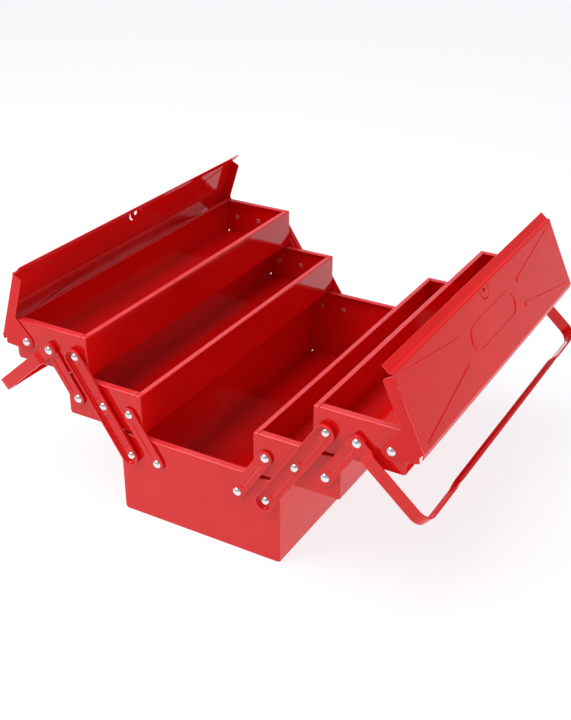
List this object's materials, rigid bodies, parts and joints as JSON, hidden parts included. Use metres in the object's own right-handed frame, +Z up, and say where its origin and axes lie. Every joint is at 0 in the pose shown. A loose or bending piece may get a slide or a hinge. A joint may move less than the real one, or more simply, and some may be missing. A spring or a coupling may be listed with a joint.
{
  "type": "cantilever tool box",
  "caption": "Steel cantilever tool box with stacked trays that swing out on parallel arms, hinged lids and swinging handles.",
  "frame": {"origin": "middle of the base tray's underside", "axes": "+X across the box towards the right-hand trays, +Y along the box from the front end to the rear end, +Z up"},
  "size_m": [0.5332, 0.4536, 0.2681],
  "materials": {
    "red_paint": "gloss",
    "bright_steel": "bright"
  },
  "bodies": {
    "base": {"base_tray": "red_paint", "base_rivets": "bright_steel", "base_washers": "bright_steel"},
    "right_long_arms": {"right_long_arm_front": "red_paint", "right_long_arm_rear": "red_paint"},
    "right_lower_arms": {"right_lower_arm_front": "red_paint", "right_lower_arm_rear": "red_paint"},
    "right_lower_tray": {"right_lower_tray": "red_paint", "right_lower_rivets": "bright_steel", "right_lower_washers": "bright_steel"},
    "right_upper_arms": {"right_upper_arm_front": "red_paint", "right_upper_arm_rear": "red_paint"},
    "right_upper_tray": {"right_upper_tray": "red_paint", "right_upper_rivets": "bright_steel", "right_upper_washers": "bright_steel"},
    "right_lid": {"right_lid": "red_paint"},
    "right_handle": {"right_handle": "red_paint"},
    "left_long_arms": {"left_long_arm_front": "red_paint", "left_long_arm_rear": "red_paint"},
    "left_lower_arms": {"left_lower_arm_front": "red_paint", "left_lower_arm_rear": "red_paint"},
    "left_lower_tray": {"left_lower_tray": "red_paint", "left_lower_rivets": "bright_steel", "left_lower_washers": "bright_steel"},
    "left_upper_arms": {"left_upper_arm_front": "red_paint", "left_upper_arm_rear": "red_paint"},
    "left_upper_tray": {"left_upper_tray": "red_paint", "left_upper_rivets": "bright_steel", "left_upper_washers": "bright_steel"},
    "left_lid": {"left_lid": "red_paint"},
    "left_handle": {"left_handle": "red_paint"}
  },
  "joints": [
    {"name": "right_fold", "type": "hinge", "parent": "base", "child": "right_long_arms", "pos_m": [0.08475, 0, 0.0755], "axis": [0, -1, 0], "range_deg": [0, 66.65]},
    {"name": "right_lower_arm_swing", "type": "hinge", "parent": "base", "child": "right_lower_arms", "pos_m": [0.05075, 0, 0.0755], "axis": [0, -1, 0], "range_deg": [0, 66.65]},
    {"name": "right_lower_tray_level", "type": "hinge", "parent": "right_long_arms", "child": "right_lower_tray", "pos_m": [0.11854, 0, 0.12713], "axis": [0, -1, 0], "range_deg": [-66.65, 0]},
    {"name": "right_upper_arm_swing", "type": "hinge", "parent": "right_lower_tray", "child": "right_upper_arms", "pos_m": [0.15254, 0, 0.12713], "axis": [0, -1, 0], "range_deg": [0, 66.65]},
    {"name": "right_upper_tray_level", "type": "hinge", "parent": "right_long_arms", "child": "right_upper_tray", "pos_m": [0.15232, 0, 0.17876], "axis": [0, -1, 0], "range_deg": [-66.65, 0]},
    {"name": "right_lid_hinge", "type": "hinge", "parent": "right_upper_tray", "child": "right_lid", "pos_m": [0.22032, 0, 0.17876], "axis": [0, -1, 0], "range_deg": [0, 62.2]},
    {"name": "right_handle_swing", "type": "hinge", "parent": "right_upper_tray", "child": "right_handle", "pos_m": [0.18632, 0, 0.17876], "axis": [0, -1, 0], "range_deg": [0, 157.2]},
    {"name": "left_fold", "type": "hinge", "parent": "base", "child": "left_long_arms", "pos_m": [-0.08475, 0, 0.0755], "axis": [0, 1, 0], "range_deg": [0, 66.65]},
    {"name": "left_lower_arm_swing", "type": "hinge", "parent": "base", "child": "left_lower_arms", "pos_m": [-0.05075, 0, 0.0755], "axis": [0, 1, 0], "range_deg": [0, 66.65]},
    {"name": "left_lower_tray_level", "type": "hinge", "parent": "left_long_arms", "child": "left_lower_tray", "pos_m": [-0.11854, 0, 0.12713], "axis": [0, 1, 0], "range_deg": [-66.65, 0]},
    {"name": "left_upper_arm_swing", "type": "hinge", "parent": "left_lower_tray", "child": "left_upper_arms", "pos_m": [-0.15254, 0, 0.12713], "axis": [0, 1, 0], "range_deg": [0, 66.65]},
    {"name": "left_upper_tray_level", "type": "hinge", "parent": "left_long_arms", "child": "left_upper_tray", "pos_m": [-0.15232, 0, 0.17876], "axis": [0, 1, 0], "range_deg": [-66.65, 0]},
    {"name": "left_lid_hinge", "type": "hinge", "parent": "left_upper_tray", "child": "left_lid", "pos_m": [-0.22032, 0, 0.17876], "axis": [0, 1, 0], "range_deg": [0, 69.4]},
    {"name": "left_handle_swing", "type": "hinge", "parent": "left_upper_tray", "child": "left_handle", "pos_m": [-0.18632, 0, 0.17876], "axis": [0, 1, 0], "range_deg": [0, 157.2]}
  ],
  "couplings": [
    {"joint": "right_lower_arm_swing", "follows": "right_fold", "ratio": 1},
    {"joint": "right_lower_tray_level", "follows": "right_fold", "ratio": -1},
    {"joint": "right_upper_arm_swing", "follows": "right_fold", "ratio": 1},
    {"joint": "right_upper_tray_level", "follows": "right_fold", "ratio": -1},
    {"joint": "left_lower_arm_swing", "follows": "left_fold", "ratio": 1},
    {"joint": "left_lower_tray_level", "follows": "left_fold", "ratio": -1},
    {"joint": "left_upper_arm_swing", "follows": "left_fold", "ratio": 1},
    {"joint": "left_upper_tray_level", "follows": "left_fold", "ratio": -1}
  ]
}
